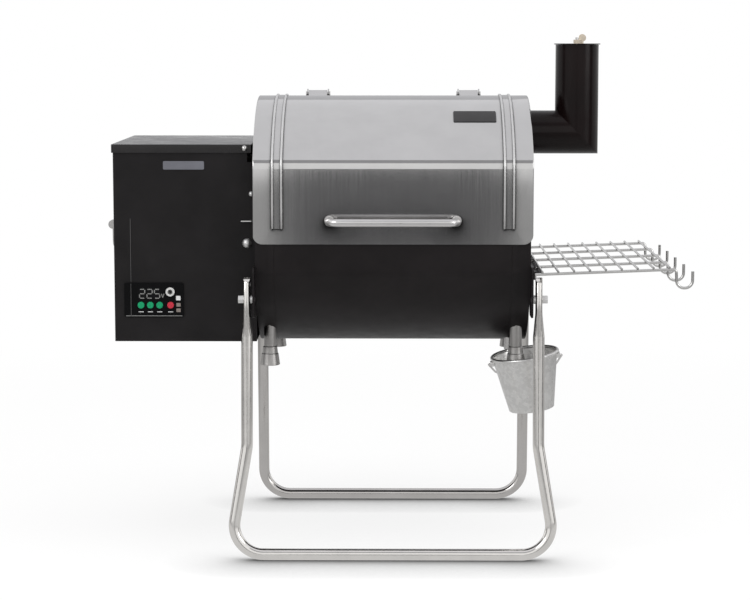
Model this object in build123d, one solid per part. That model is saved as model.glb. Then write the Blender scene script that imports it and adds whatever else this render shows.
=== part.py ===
from build123d import *
import os
from math import atan2, cos, degrees, radians, sin, sqrt, tan

# Portable pellet smoker grill: a sheet-steel barrel with a lift-up hood, a pellet hopper on its left,
# a mitred chimney and a wire shelf on its right, and two folding tube frames for legs.
# Millimetres, +Z up, front at -Y. Everything is laid out about the middle of the barrel with the floor
# at z = 0, and moved once at the end so that the origin is the bottom centre of the whole object.

# ---- sheet, wire and clearances
skin = 1.5                 # barrel, hood and hopper sheet
running_fit = 0.05         # radial, pins and shafts that turn in their holes
seat_gap = 0.3             # between pieces of different bodies that rest on each other
slide_gap = 1.0            # between sheets that pass each other

# ---- barrel: flat front and back joined by a wide arc over the top and another under it
barrel_width = 424.0
barrel_depth = 376.0
crown_height = 704.0       # top of the upper arc
crown_radius = 232.0
keel_height = 314.0        # bottom of the lower arc
keel_radius = 205.0
crease_radius = 25.0       # where the arcs meet the flat walls
tub_top = 492.0            # upper edge of the tub
bead_offset = 188.0        # pressed bead round the barrel, from its middle
bead_width = 9.0
bead_rise = 0.8
hood_rib_offset = 178.0
hood_rib_width = 14.0
hood_rib_rise = 1.0

# ---- hood
hood_bottom = 484.0        # overlaps the tub's upper edge
hood_overhang = 3.2        # how far its ends stand out past the barrel's
hood_back = 84.0           # rear edge, from the middle
hood_flange = 14.0         # turned-in rim at each end
hood_edge_radius = 2.0
hood_corner_radius = 15.0
hood_panel_reach = 14.0    # the rear panel runs on this far under the hood

# ---- hood hinges
hinge_offset = 124.0       # from the middle to each hinge
hinge_y = 100.0
hinge_z = 706.0
hinge_pin_radius = 3.0
hinge_knuckle_radius = 6.5
hinge_leaf_width = 30.0
ear_gauge = 2.0
ear_radius = 8.5

# ---- hood handle
handle_span = 195.0        # between the two shanks
handle_height = 521.0
handle_standoff = 45.0
handle_radius = 6.0
handle_bend = 15.0
ferrule_radius = 7.5
ferrule_thickness = 3.0

# ---- bare plate on the hood
hood_plate_middle = 127.0
hood_plate_width = 65.0
hood_plate_front = -128.0
hood_plate_back = -101.0
hood_plate_gauge = 1.2

# ---- chimney
chimney_radius = 34.5
chimney_axis = 294.5       # of the upright pipe, from the middle
arm_height = 648.0
stack_top = 787.5
flange_radius = 44.0
flange_gauge = 2.0
flange_screw_circle = 39.0
flange_screw_angle = 32.0  # degrees above and below level
flange_screw_radius = 4.0
flange_screw_rise = 6.0
cap_radius = 37.0
cap_gauge = 1.5
stem_radius = 3.0
stem_top = 799.0
stem_bridge_drop = 24.0    # cross strap inside the pipe, below its top

# ---- legs
tube_radius = 9.0
leg_plane = 196.0          # front and rear frames, from the middle
leg_spacing = 448.0        # between the uprights
pivot_height = 400.0
front_splay = 5.4          # degrees, the frame's foot outward
rear_splay = 3.6
leg_top = pivot_height + 34.0
flat_thickness = 10.0      # flattened upper ends
flat_width = 24.0
flat_start = pivot_height - 17.0
round_start = flat_start - 41.0  # the tube is round below this
kink_height = 173.6        # the front frame spreads below this
foot_spread = 27.5         # on each side, at the floor bar
kink_bend = 60.0
corner_bend = 45.0
pivot_bolt_radius = 4.0
bolt_head_radius = 6.5
bolt_head_height = 8.0
bracket_gauge = 3.0
bracket_bottom = pivot_height - 28.0
bracket_top = pivot_height + 50.0
bracket_inner_edge = 157.0
bracket_corner = 9.0
bracket_margin = 2.0
side_gap = 0.4             # at each face of a tube end

# ---- cone feet under the tub
foot_x = 194.0
foot_y = 105.0
foot_bottom = 285.0
foot_radius = 15.5
foot_cone_height = 19.0    # widest stage, at the bottom
foot_cone_taper = 2.2
foot_band_height = 11.0    # second stage
foot_step = 1.0            # in, between the stages
foot_neck_radius = 9.5

# ---- hopper
hopper_left = -433.0
hopper_front = -155.0
hopper_back = 145.0
hopper_bottom = 329.0
hopper_top = 634.0
hopper_flange = 12.0
hopper_corner = 3.0
hopper_lid_lip = 13.0
hopper_hinge_x = -229.0
hopper_hinge_z = 629.5
hopper_hinge_radius = 2.0
hopper_lid_overhang = 10.0 # the lid's right edge, past its hinge
notch_bottom = 608.0       # cut in the walls where the lid turns down

# ---- pellet bin, auger and fire pot
bin_rim = 604.0
bin_shoulder = 560.0
bin_mouth_left = -397.0
bin_mouth_right = -298.0
bin_mouth_half = 19.0
guard_height = 575.0
guard_wires = 9
guard_wire_radius = 1.5
auger_height = 368.0
auger_tube_radius = 23.0
auger_tube_bore = 21.0
auger_start = -402.0
auger_shaft_radius = 6.0
auger_seat = 12.0          # of the shaft in the motor
auger_flight_radius = 19.5
auger_pitch = 38.0
auger_flight_gauge = 2.0
pot_left = -130.0
pot_length = 90.0
pot_width = 90.0
pot_floor = 336.0
pot_top = 406.0
pot_gauge = 2.0
pot_hole_radius = 3.0
shield_gauge = 2.0
shield_length = 240.0
shield_flat = 120.0
shield_reach = 60.0        # of each sloping side
shield_slope = 25.0        # degrees
tray_left_height = 440.0
tray_right_height = 424.0
tray_half = 166.0
tray_lip = 10.0

# ---- cooking grate
grate_height = 470.0
grate_length = 406.0
grate_depth = 348.0
grate_frame_radius = 3.0
grate_wire_radius = 2.0
grate_wires = 23
ledge_reach = 16.0

# ---- fan in the hopper's back wall
fan_x = -330.0
fan_height = 436.0
fan_size = 80.0
fan_depth = 25.0
fan_bore = 36.0
fan_hub = 13.0
fan_blades = 7
vent_slots = 7
vent_width = 5.0

# ---- control panel on the hopper's front
panel_left = -417.5
panel_width = 92.5
panel_top = 421.0
panel_height = 54.0
panel_gauge = 2.0
window_x = -378.0
window_z = 403.7
window_width = 33.7
window_height = 16.2
window_depth = 1.2
button_z = 386.0
button_xs = [-391.5, -377.0, -362.5, -345.5]
button_names = ["button_up", "button_set", "button_down", "button_power"]
button_radius = 5.2
button_proud = 2.0
button_flange = 1.2
button_travel = 1.0
jack_x = -346.0
jack_z = 406.7
jack_radius = 7.0
jack_bore = 2.0
jack_depth = 14.0
jack_proud = 2.5

# ---- side shelf
shelf_height = 440.0
shelf_tilt = 2.2           # degrees, the outer end up
shelf_left = 217.5
shelf_right = 426.0
shelf_half = 212.0
long_wires = 5
long_wire_radius = 2.25
cross_wires = 9
cross_first = 228.0
cross_pitch = 24.2
cross_wire_radius = 1.75
cross_overhang = 6.0
weld_depth = 0.5
hook_drop = 29.0
hook_tip_drop = 4.0
hook_width = 24.0
rail_half = 150.0
rail_height = 30.0
rail_reach = 22.0
rail_gauge = 2.0
shelf_pin_drop = 20.0
pin_play = 1.5

# ---- grease bucket
bucket_x = 209.0
bucket_y = -85.0
bucket_rim = 302.0
bucket_lean = 8.0          # degrees, to the left
bucket_nod = 3.0           # degrees, to the front
bucket_radius = 52.5
bucket_foot_radius = 36.0
bucket_depth = 91.0
bucket_gauge = 1.0
bead_roll = 2.5
bail_drop = 11.0           # pivots below the rim
bail_wire = 1.6
bail_reach = 59.0
bail_hang = 57.0           # degrees back from straight down
ear_plate_radius = 5.0
ear_plate_reach = 3.0
hanger_clearance = 1.2
hanger_width = 4.5
hanger_gauge = 2.0
hanger_strap = 20.0
hanger_shift = 14.0
hanger_start = 45.0        # degrees behind the ears
spout_x = 186.0
spout_y = -52.0
spout_radius = 8.0
spout_end = 303.0
spout_top = 325.0

# ---- carrying handle on the hopper's left wall
grip_y = -5.0
grip_z = 505.0
grip_span = 130.0
grip_wire = 3.5
grip_drop = 36.0
grip_plate_gauge = 2.0
grip_plate_height = 34.0
grip_axis_out = 11.0       # pivot axis, out from the wall
knuckle_length = 16.0
knuckle_radius = 7.0

# ---- fasteners
screw_radius = 4.0
screw_rise = 2.6
thumb_nut_radius = 7.8
thumb_nut_x = -226.0
thumb_nut_z = 482.5
bracket_screws = [(166.0, 441.0), (163.0, 419.0)]
hopper_rim_x = -219.0
upper_screw_z = 559.0
hopper_tab_x = -227.0
hopper_tab_z = 517.0
hopper_tab_width = 16.0
hopper_tab_reach = 5.0

end_face = barrel_width / 2
inner_face = end_face - skin


def box(x0, x1, y0, y1, z0, z1):
    """Box between two corners."""
    return Pos((x0 + x1) / 2, (y0 + y1) / 2, (z0 + z1) / 2) * Box(x1 - x0, y1 - y0, z1 - z0)


def rod(start, end, radius):
    """Round bar from one point to another."""
    path = Line(start, end)
    return sweep(Plane(origin=start, z_dir=path % 0) * Circle(radius), path=path)


def bent_rod(points, radii, radius):
    """Round bar along straight runs joined by arcs."""
    path = FilletPolyline(*points, radius=radii)
    return sweep(Plane(origin=path @ 0, z_dir=path % 0) * Circle(radius), path=path)


def dome_screw(point, direction, radius=screw_radius, rise=screw_rise):
    """Domed screw head standing on a face."""
    ball = (radius**2 + rise**2) / (2 * rise)
    start = degrees(atan2(ball - rise, radius))
    profile = make_face(
        [
            Line((0, 0), (radius, 0)),
            CenterArc((0, rise - ball), ball, start, 90 - start),
            Line((0, rise), (0, 0)),
        ]
    )
    return Plane(origin=point, z_dir=direction) * revolve(Plane.XZ * profile, Axis.Z)


def barrel_face(grow):
    """Cross-section of the barrel in (y, z), grown outward by an even amount."""
    half = barrel_depth / 2 + grow
    upper = crown_radius + grow
    lower = keel_radius + grow
    upper_middle = crown_height - crown_radius
    lower_middle = keel_height + keel_radius
    top = upper_middle + sqrt(upper**2 - half**2)
    bottom = lower_middle - sqrt(lower**2 - half**2)
    outline = [
        Line((-half, bottom), (-half, top)),
        ThreePointArc((-half, top), (0, upper_middle + upper), (half, top)),
        Line((half, top), (half, bottom)),
        ThreePointArc((half, bottom), (0, lower_middle - lower), (-half, bottom)),
    ]
    face = make_face(outline)
    return fillet(face.vertices(), crease_radius + grow)


def lengthwise(face, x0, x1):
    """Stretch a (y, z) face from x0 to x1."""
    return Pos(x0, 0, 0) * extrude(Plane.YZ * face, x1 - x0)


def area(y0, y1, z0, z1):
    """Rectangle in (y, z)."""
    return Pos((y0 + y1) / 2, (z0 + z1) / 2) * Rectangle(y1 - y0, z1 - z0)


def barrel_ring(inner, outer, y0, y1, z0, z1):
    """Piece of the barrel's outline, between two offsets, inside a window in (y, z)."""
    window = area(y0, y1, z0, z1)
    return (barrel_face(outer) - barrel_face(inner)) & window


far = crown_height         # longer than any piece, for cutting right through
full_barrel = lengthwise(barrel_face(0), -end_face, end_face)


# ---- barrel
def barrel_tub():
    wall = lengthwise(barrel_ring(-skin, 0, -far, far, 0, tub_top), -end_face, end_face)
    bead = barrel_ring(-skin / 2, bead_rise, -far, far, 0, hood_bottom - seat_gap)
    for side in (-1, 1):
        wall += lengthwise(bead, side * bead_offset - bead_width / 2, side * bead_offset + bead_width / 2)
    drain = Pos(spout_x, spout_y, spout_top) * Cylinder(spout_radius, 2 * (spout_top - spout_end))
    return wall - drain


def under_tub(piece):
    """What is left of a piece below the tub, cut to the tub's own surface."""
    below = piece - full_barrel - barrel_tub()
    return below.solids().sort_by(Axis.Z)[0]


def rear_panel():
    start = hood_back - hood_panel_reach
    return lengthwise(barrel_ring(-skin, 0, start, far, tub_top, far + crown_height), -end_face, end_face)


def end_panel(side):
    outline = barrel_face(-skin)
    rim = outline - barrel_face(-skin - skin)
    x0, x1 = sorted((side * inner_face, side * end_face))
    panel = lengthwise(outline, x0, x1)
    flange_end = side * (inner_face - hopper_flange)
    r0, r1 = sorted((side * inner_face, flange_end))
    panel += lengthwise(rim, r0, r1)
    return panel


def end_panel_left():
    hole = Pos(-end_face, 0, auger_height) * Rot(0, 90, 0) * Cylinder(auger_tube_radius, 4 * skin)
    return end_panel(-1) - hole


def end_panel_right():
    hole = Pos(end_face, 0, arm_height) * Rot(0, 90, 0) * Cylinder(chimney_radius - skin, 4 * skin)
    return end_panel(1) - hole


def drain_spout():
    middle = (spout_end + spout_top) / 2
    tube = Cylinder(spout_radius, spout_top - spout_end) - Cylinder(spout_radius - skin, far)
    return Pos(spout_x, spout_y, middle) * tube


def heat_shield():
    run = shield_reach * cos(radians(shield_slope))
    fall = shield_reach * sin(radians(shield_slope))
    half = shield_flat / 2
    low, high = pot_top - fall, pot_top
    profile = Polyline((-half - run, low), (-half, high), (half, high), (half + run, low))
    sheet = make_face(offset(profile, shield_gauge / 2, side=Side.BOTH).edges())
    middle = pot_left + pot_length / 2
    shield = lengthwise(sheet, middle - shield_length / 2, middle + shield_length / 2)
    return Pos(0, 0, shield_gauge / 2) * shield


def grease_tray():
    run = 2 * inner_face
    fall = tray_left_height - tray_right_height
    floor_line = Polyline(
        (-inner_face, tray_left_height),
        (inner_face, tray_right_height),
        (inner_face, tray_right_height - skin),
        (-inner_face, tray_left_height - skin),
        (-inner_face, tray_left_height),
    )
    lip_line = Polyline(
        (-inner_face, tray_left_height + tray_lip),
        (inner_face, tray_right_height + tray_lip),
        (inner_face, tray_right_height - skin),
        (-inner_face, tray_left_height - skin),
        (-inner_face, tray_left_height + tray_lip),
    )
    tray = extrude(Plane.XZ * make_face(floor_line), tray_half, both=True)
    lip = extrude(Plane.XZ * make_face(lip_line), skin)
    for front in (-tray_half, tray_half - skin):
        tray += Pos(0, front + skin, 0) * lip
    slot_length = run / 4
    slot = box(spout_x - spout_radius, inner_face - 2 * skin, spout_y - slot_length / 2,
               spout_y + slot_length / 2, tray_right_height - fall, tray_right_height + fall)
    return tray - slot


def fire_pot():
    half = pot_width / 2
    right = pot_left + pot_length
    shell = box(pot_left, right, -half, half, keel_height - skin, pot_top)
    shell -= box(pot_left + pot_gauge, right - pot_gauge, -half + pot_gauge, half - pot_gauge,
                 pot_floor + pot_gauge, far)
    shell -= box(pot_left + pot_gauge, right - pot_gauge, -half + pot_gauge, half - pot_gauge, 0, pot_floor)
    inner_barrel = lengthwise(barrel_face(-skin), -end_face, end_face)
    shell &= inner_barrel
    shell -= Pos(pot_left, 0, auger_height) * Rot(0, 90, 0) * Cylinder(auger_tube_bore, 4 * pot_gauge)
    notch_depth = 16.0
    window = box(pot_left - 1, right + 1, -half + notch_depth, half - notch_depth,
                 pot_top - notch_depth, far)
    window += box(pot_left + notch_depth, right - notch_depth, -half - 1, half + 1,
                  pot_top - notch_depth, far)
    shell -= window
    middle = pot_left + pot_length / 2
    level = (pot_floor + pot_top) / 2 - 4.0
    for spot in GridLocations(14.0, 12.0, 5, 3):
        shell -= Pos(middle + spot.position.X, 0, level + spot.position.Y) * Rot(90, 0, 0) * Cylinder(
            pot_hole_radius, 2 * pot_width)
    return shell


def grate_ledges():
    """Angle rails on both end panels, for the cooking grate."""
    top = grate_height - grate_frame_radius - seat_gap
    half = grate_depth / 2
    rail = box(inner_face - ledge_reach, inner_face, -half, half, top - skin, top)
    rail += box(inner_face - skin, inner_face, -half, half, top - ledge_reach, top)
    return Compound([rail, mirror(rail, Plane.YZ)])


def cooking_grate():
    x, y = grate_length / 2 - grate_frame_radius, grate_depth / 2 - grate_frame_radius
    bend = 4 * grate_frame_radius
    path = Plane.XY * (Rectangle(2 * x, 2 * y))
    path = fillet(path.vertices(), bend).wire()
    start = Plane(origin=path @ 0, z_dir=path % 0)
    frame = sweep(start * Circle(grate_frame_radius), path=path)
    wire = Rot(90, 0, 0) * Cylinder(grate_wire_radius, 2 * y)
    spacing = 2 * (x - bend) / (grate_wires - 1)
    for place in GridLocations(spacing, 0, grate_wires, 1):
        frame += place * wire
    bar_length = 2 * (inner_face - ledge_reach - slide_gap)
    bar = Rot(0, 90, 0) * Cylinder(grate_wire_radius, bar_length)
    drop = 2 * grate_wire_radius - weld_depth
    for place in GridLocations(0, y, 1, 2):
        frame += place * Pos(0, 0, -drop) * bar
    return Pos(0, 0, grate_height) * frame


# ---- hood
def hood_block(grow, x_half, edge_radius):
    window = area(-far, hood_back, hood_bottom, far + crown_height)
    block = lengthwise(barrel_face(grow) & window, -x_half, x_half)
    rims = [
        edge
        for edge in block.edges()
        if abs(abs(edge.center().X) - x_half) < 0.01
        and edge.center().Z > hood_bottom + 1
        and edge.center().Y < hood_back - 1
    ]
    return fillet(rims, edge_radius)


def hood_shell():
    x_half = end_face + hood_overhang
    outer = slide_gap + skin
    shell = hood_block(outer, x_half, hood_edge_radius)
    shell -= hood_block(slide_gap, x_half - skin, hood_edge_radius - skin)
    window = area(-far, hood_back + 1, hood_bottom - 1, far + crown_height)
    shell -= lengthwise(barrel_face(outer - hood_flange) & window, -far, far)
    bead_window = (-far, hood_back, hood_bottom + 24, far + crown_height)
    rib = barrel_ring(outer - skin / 2, outer + hood_rib_rise, *bead_window)
    for side in (-1, 1):
        middle = side * hood_rib_offset
        shell += lengthwise(rib, middle - hood_rib_width / 2, middle + hood_rib_width / 2)
        corner = Pos(side * x_half, 0, hood_bottom) * Rot(90, 0, 0) * (
            Box(2 * hood_corner_radius, 2 * hood_corner_radius, far)
        )
        corner -= Pos(side * (x_half - hood_corner_radius), 0, hood_bottom + hood_corner_radius) * Rot(
            90, 0, 0) * Cylinder(hood_corner_radius, far)
        shell -= corner
    return shell


def hood_front():
    """The hood's flat front face, in y."""
    return -(barrel_depth / 2 + slide_gap + skin)


def hood_handle():
    face = hood_front() - ferrule_thickness
    grip = -handle_standoff + hood_front()
    half = handle_span / 2
    points = [(-half, face, 0), (-half, grip, 0), (half, grip, 0), (half, face, 0)]
    bar = bent_rod(points, [handle_bend] * 2, handle_radius)
    for side in (-1, 1):
        ferrule = Cylinder(ferrule_radius, ferrule_thickness)
        bar += Pos(side * half, hood_front() - ferrule_thickness / 2, 0) * Rot(90, 0, 0) * ferrule
    return Pos(0, 0, handle_height) * bar


def hood_plate():
    outer = slide_gap + skin
    ring = barrel_ring(outer, outer + hood_plate_gauge, hood_plate_front, hood_plate_back,
                       keel_height * 2, far * 2)
    x0 = hood_plate_middle - hood_plate_width / 2
    return lengthwise(ring, x0, x0 + hood_plate_width)


def hinge_leaves():
    """Straps on the hood that turn on the hinge pins."""
    outer = slide_gap + skin
    knuckle = Pos(hinge_y, hinge_z) * Circle(hinge_knuckle_radius)
    root = Pos(hood_back - 16, hinge_z - 14) * Rectangle(12, 4)
    profile = make_hull(knuckle.edges() + root.edges())
    profile = profile - barrel_face(outer) - area(hood_back - far, hood_back - 22, 0, 2 * far)
    profile -= Pos(hinge_y, hinge_z) * Circle(hinge_pin_radius + running_fit)
    leaf = lengthwise(profile, -hinge_leaf_width / 2, hinge_leaf_width / 2)
    return Compound([Pos(side * hinge_offset, 0, 0) * leaf for side in (-1, 1)])


def hinge_ears():
    """Folded brackets on the rear panel: two ears and the base between them."""
    half = hinge_leaf_width / 2 + slide_gap + ear_gauge
    y0, y1 = hinge_y - 4, hinge_y + 26
    tip = Pos(hinge_y, hinge_z) * Circle(ear_radius)
    foot = Pos((y0 + y1) / 2, hinge_z - 36) * Rectangle(y1 - y0, 4)
    ear = make_hull(tip.edges() + foot.edges()) - barrel_face(0)
    ear -= Pos(hinge_y, hinge_z) * Circle(hinge_pin_radius)
    base = barrel_ring(0, ear_gauge, y0, y1, tub_top, 2 * far)
    bracket = lengthwise(base, -half, half)
    bracket += lengthwise(ear, -half, -half + ear_gauge)
    bracket += lengthwise(ear, half - ear_gauge, half)
    return Compound([Pos(side * hinge_offset, 0, 0) * bracket for side in (-1, 1)])


def hinge_pins():
    half = hinge_leaf_width / 2 + slide_gap + ear_gauge
    pin = Rot(0, 90, 0) * Cylinder(hinge_pin_radius, 2 * half)
    for side in (-1, 1):
        head = Cylinder(hinge_pin_radius + 1.5, ear_gauge)
        pin += Pos(side * (half + ear_gauge / 2), 0, 0) * Rot(0, 90, 0) * head
    return Compound([Pos(side * hinge_offset, hinge_y, hinge_z) * pin for side in (-1, 1)])


# ---- chimney
def chimney_tube(length):
    """Open pipe along +Z from the mitre's middle, cut at 45 degrees below."""
    bore = Cylinder(chimney_radius - skin, 4 * far)
    pipe = Pos(0, 0, length / 2) * Cylinder(chimney_radius, length + 4 * chimney_radius) - bore
    pipe &= Pos(0, 0, length / 2) * Box(far, far, length) + Pos(0, 0, -chimney_radius) * Box(
        far, far, 2 * chimney_radius)
    return pipe


def chimney_stack():
    pipe = Pos(chimney_axis, 0, arm_height) * chimney_tube(stack_top - arm_height)
    mitre = Plane(origin=(chimney_axis, 0, arm_height), z_dir=(1, 0, 1))
    return split(pipe, bisect_by=mitre, keep=Keep.TOP)


def chimney_arm():
    start = end_face + flange_gauge
    pipe = Rot(0, -90, 0) * chimney_tube(chimney_axis - start)
    pipe = Pos(chimney_axis, 0, arm_height) * pipe
    mitre = Plane(origin=(chimney_axis, 0, arm_height), z_dir=(1, 0, 1))
    return split(pipe, bisect_by=mitre, keep=Keep.BOTTOM)


def chimney_flange():
    ring = Cylinder(flange_radius, flange_gauge) - Cylinder(chimney_radius - skin, far)
    return Pos(end_face + flange_gauge / 2, 0, arm_height) * Rot(0, 90, 0) * ring


def cap_stem():
    """Threaded rod on a strap across the pipe."""
    level = stack_top - stem_bridge_drop
    rod_length = stem_top - level
    stem = Pos(0, 0, rod_length / 2) * Cylinder(stem_radius, rod_length)
    strap = Pos(0, 0, -skin / 2) * Box(far, 4 * stem_radius, skin) & Cylinder(chimney_radius - skin, far)
    return Pos(chimney_axis, 0, level) * (stem + strap)


def chimney_cap():
    hole = Cylinder(stem_radius + running_fit, far)
    disc = Cylinder(cap_radius, cap_gauge) - hole
    return Pos(chimney_axis, 0, stack_top + seat_gap + cap_gauge / 2) * disc


def thumb_nut():
    """Nut with one tall rounded tab, over the cap."""
    bottom = stack_top + seat_gap + cap_gauge
    hub_radius = 2 * stem_radius
    hub = Pos(0, 0, hub_radius / 2) * Cylinder(hub_radius, hub_radius)
    tab = Pos(hub_radius + 2, hub_radius + 3) * Circle(hub_radius)
    tab += Pos(hub_radius / 2 + 2, hub_radius / 2) * Rectangle(hub_radius + 4, hub_radius)
    hub += extrude(Plane.XZ * tab, 1.5, both=True)
    hub -= Cylinder(stem_radius + running_fit, far)
    return Pos(chimney_axis, 0, bottom) * hub


# ---- legs
def leg_frame(spread, splay):
    """One tube bent into a U, with both upper ends pressed flat and drilled for the pivot."""
    half = leg_spacing / 2
    floor = half + spread
    bar = pivot_height - (pivot_height - tube_radius) / cos(radians(splay))
    points = [
        (-half, 0, round_start),
        (-half, 0, kink_height),
        (-floor, 0, bar),
        (floor, 0, bar),
        (half, 0, kink_height),
        (half, 0, round_start),
    ]
    radii = [kink_bend, corner_bend, corner_bend, kink_bend]
    if not spread:
        points = [points[0], points[2], points[3], points[5]]
        radii = [corner_bend, corner_bend]
    frame = bent_rod(points, radii, tube_radius)
    flat = Rectangle(flat_thickness, flat_width)
    flat = fillet(flat.vertices(), 0.45 * flat_thickness)
    for side in (-1, 1):
        neck = loft([Pos(side * half, 0, round_start) * Circle(tube_radius),
                     Pos(side * half, 0, flat_start) * flat])
        tongue = Pos(side * half, 0, flat_start) * extrude(flat, leg_top - flat_start)
        end = Pos(side * half, 0, leg_top - flat_width / 2) * Rot(0, 90, 0) * Cylinder(flat_width / 2, far)
        end += box(side * half - far, side * half + far, -far, far, 0, leg_top - flat_width / 2)
        tongue &= end
        hole = Cylinder(pivot_bolt_radius + running_fit, 4 * flat_thickness)
        frame += neck + tongue
        frame -= Pos(side * half, 0, pivot_height) * Rot(0, 90, 0) * hole
    return Pos(0, 0, -pivot_height) * frame


def front_leg_frame():
    return Pos(0, -leg_plane, pivot_height) * Rot(-front_splay, 0, 0) * leg_frame(foot_spread, front_splay)


def rear_leg_frame():
    return Pos(0, leg_plane, pivot_height) * Rot(rear_splay, 0, 0) * leg_frame(0, rear_splay)


def four_corners(piece):
    """A piece made for the right rear corner, repeated at all four."""
    pair = [piece, mirror(piece, Plane.YZ)]
    return Compound(pair + [mirror(one, Plane.XZ) for one in pair])


def leg_brackets():
    outer_edge = leg_plane + flat_width / 2 + bracket_margin
    outline = area(bracket_inner_edge, outer_edge, bracket_bottom, bracket_top)
    outline = fillet(outline.vertices(), bracket_corner)
    plate = lengthwise(outline, end_face, end_face + bracket_gauge)
    hole = Rot(0, 90, 0) * Cylinder(pivot_bolt_radius, 8 * bracket_gauge)
    return four_corners(plate - Pos(end_face, leg_plane, pivot_height) * hole)


def pivot_bolts():
    """Bolts through the flattened tube ends, with a spacer against each bracket."""
    flat_in = leg_spacing / 2 - flat_thickness / 2 - side_gap
    flat_out = leg_spacing / 2 + flat_thickness / 2 + side_gap
    turned = Rot(0, 90, 0)
    shank = Pos((end_face + flat_out) / 2, 0, 0) * turned * Cylinder(pivot_bolt_radius, flat_out - end_face)
    spacer_start = end_face + bracket_gauge
    spacer = Cylinder(bolt_head_radius, flat_in - spacer_start)
    shank += Pos((spacer_start + flat_in) / 2, 0, 0) * turned * spacer
    head = Plane.YZ * RegularPolygon(bolt_head_radius, 6)
    shank += Pos(flat_out, 0, 0) * extrude(head, bolt_head_height)
    return four_corners(Pos(0, leg_plane, pivot_height) * shank)


def feet():
    """Stepped conical feet under the tub, for when the legs are folded."""
    top = keel_height + keel_radius
    cone_top = foot_bottom + foot_cone_height
    band_top = cone_top + foot_band_height
    cone_radius = foot_radius - foot_cone_taper
    outline = Polyline(
        (0, foot_bottom),
        (foot_radius - foot_step, foot_bottom),
        (foot_radius, foot_bottom + foot_step),
        (cone_radius, cone_top - foot_step),
        (cone_radius - foot_step, cone_top),
        (cone_radius - 2 * foot_step, band_top - foot_step),
        (foot_neck_radius, band_top),
        (foot_neck_radius, top),
        (0, top),
        (0, foot_bottom),
    )
    cone = revolve(Plane.XZ * make_face(outline), Axis.Z)
    return four_corners(under_tub(Pos(foot_x, foot_y, 0) * cone))


# ---- hopper
def hopper_plan(grow=0.0):
    """The hopper's outline seen from above, grown outward on its three free sides."""
    left, front, back = hopper_left - grow, hopper_front - grow, hopper_back + grow
    face = Pos((left - end_face) / 2, (front + back) / 2) * Rectangle(-end_face - left, back - front)
    rounded = [corner for corner in face.vertices() if corner.X < hopper_left + 2 * skin]
    return fillet(rounded, hopper_corner + grow)


def hopper_shell():
    wall_top = hopper_top - seat_gap
    shell = Pos(0, 0, hopper_bottom) * extrude(hopper_plan(), wall_top - hopper_bottom)
    shell -= Pos(0, 0, hopper_bottom - 1) * extrude(hopper_plan(-skin), far)
    rim = -end_face - skin
    front_flange = (hopper_front + skin, hopper_front + hopper_flange)
    back_flange = (hopper_back - hopper_flange, hopper_back - skin)
    for y0, y1 in (front_flange, back_flange):
        shell += box(rim, -end_face, y0, y1, hopper_bottom + skin, notch_bottom)
    turn = hopper_top - hopper_hinge_z - 2 * seat_gap
    notch = box(hopper_hinge_x, 0, -far, far, notch_bottom, far)
    notch -= Pos(hopper_hinge_x, 0, hopper_hinge_z) * Rot(90, 0, 0) * Cylinder(turn, 2 * far)
    notch -= box(hopper_hinge_x, hopper_hinge_x + turn, -far, far, notch_bottom, hopper_hinge_z)
    shell -= notch
    for index in range(vent_slots):
        level = fan_height + (index - (vent_slots - 1) / 2) * 2 * vent_width
        shell -= box(fan_x - fan_bore * 0.8, fan_x + fan_bore * 0.8, hopper_back - 2 * skin, hopper_back + 1,
                     level - vent_width / 2, level + vent_width / 2)
    shell -= Pos(hopper_hinge_x, 0, hopper_hinge_z) * Rot(90, 0, 0) * Cylinder(hopper_hinge_radius, 2 * far)
    button_hole = Rot(90, 0, 0) * Cylinder(button_radius + 2 * button_flange, 4 * skin)
    for x in button_xs:
        shell -= Pos(x, hopper_front, button_z) * button_hole
    shell -= Pos(jack_x, hopper_front, jack_z) * Rot(90, 0, 0) * Cylinder(jack_radius - 2, 4 * skin)
    return shell


def hopper_floor():
    """Bottom sheet, inside the wall, cut back where the wall's rims stand."""
    return Pos(0, 0, hopper_bottom) * extrude(hopper_plan(-skin), skin)


def hopper_lid():
    grow = slide_gap + skin
    top = Pos(0, 0, hopper_top + skin - hopper_lid_lip) * extrude(hopper_plan(grow), hopper_lid_lip)
    top = fillet(top.edges().group_by(Axis.Z)[-1].filter_by(
        lambda edge: edge.center().X < -end_face - 1), 0.8 * skin)
    top -= Pos(0, 0, hopper_top - far) * extrude(hopper_plan(slide_gap), far)
    right = hopper_hinge_x + hopper_lid_overhang
    top -= box(right, 0, -far, far, 0, 2 * far)
    return top - Pos(hopper_hinge_x, 0, hopper_hinge_z) * Rot(90, 0, 0) * Cylinder(
        hopper_hinge_radius + running_fit, 2 * far)


def hopper_lid_pins():
    """Screws through the lid's lips into the hopper's front and back walls."""
    pins = []
    for side, wall in ((-1, hopper_front), (1, hopper_back)):
        face = wall + side * (slide_gap + skin + 2 * seat_gap)
        start = (hopper_hinge_x, wall - side * skin, hopper_hinge_z)
        end = (hopper_hinge_x, face, hopper_hinge_z)
        pins.append(rod(start, end, hopper_hinge_radius) + dome_screw(end, (0, side, 0), 4.5, 3.0))
    return Compound(pins)


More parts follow.
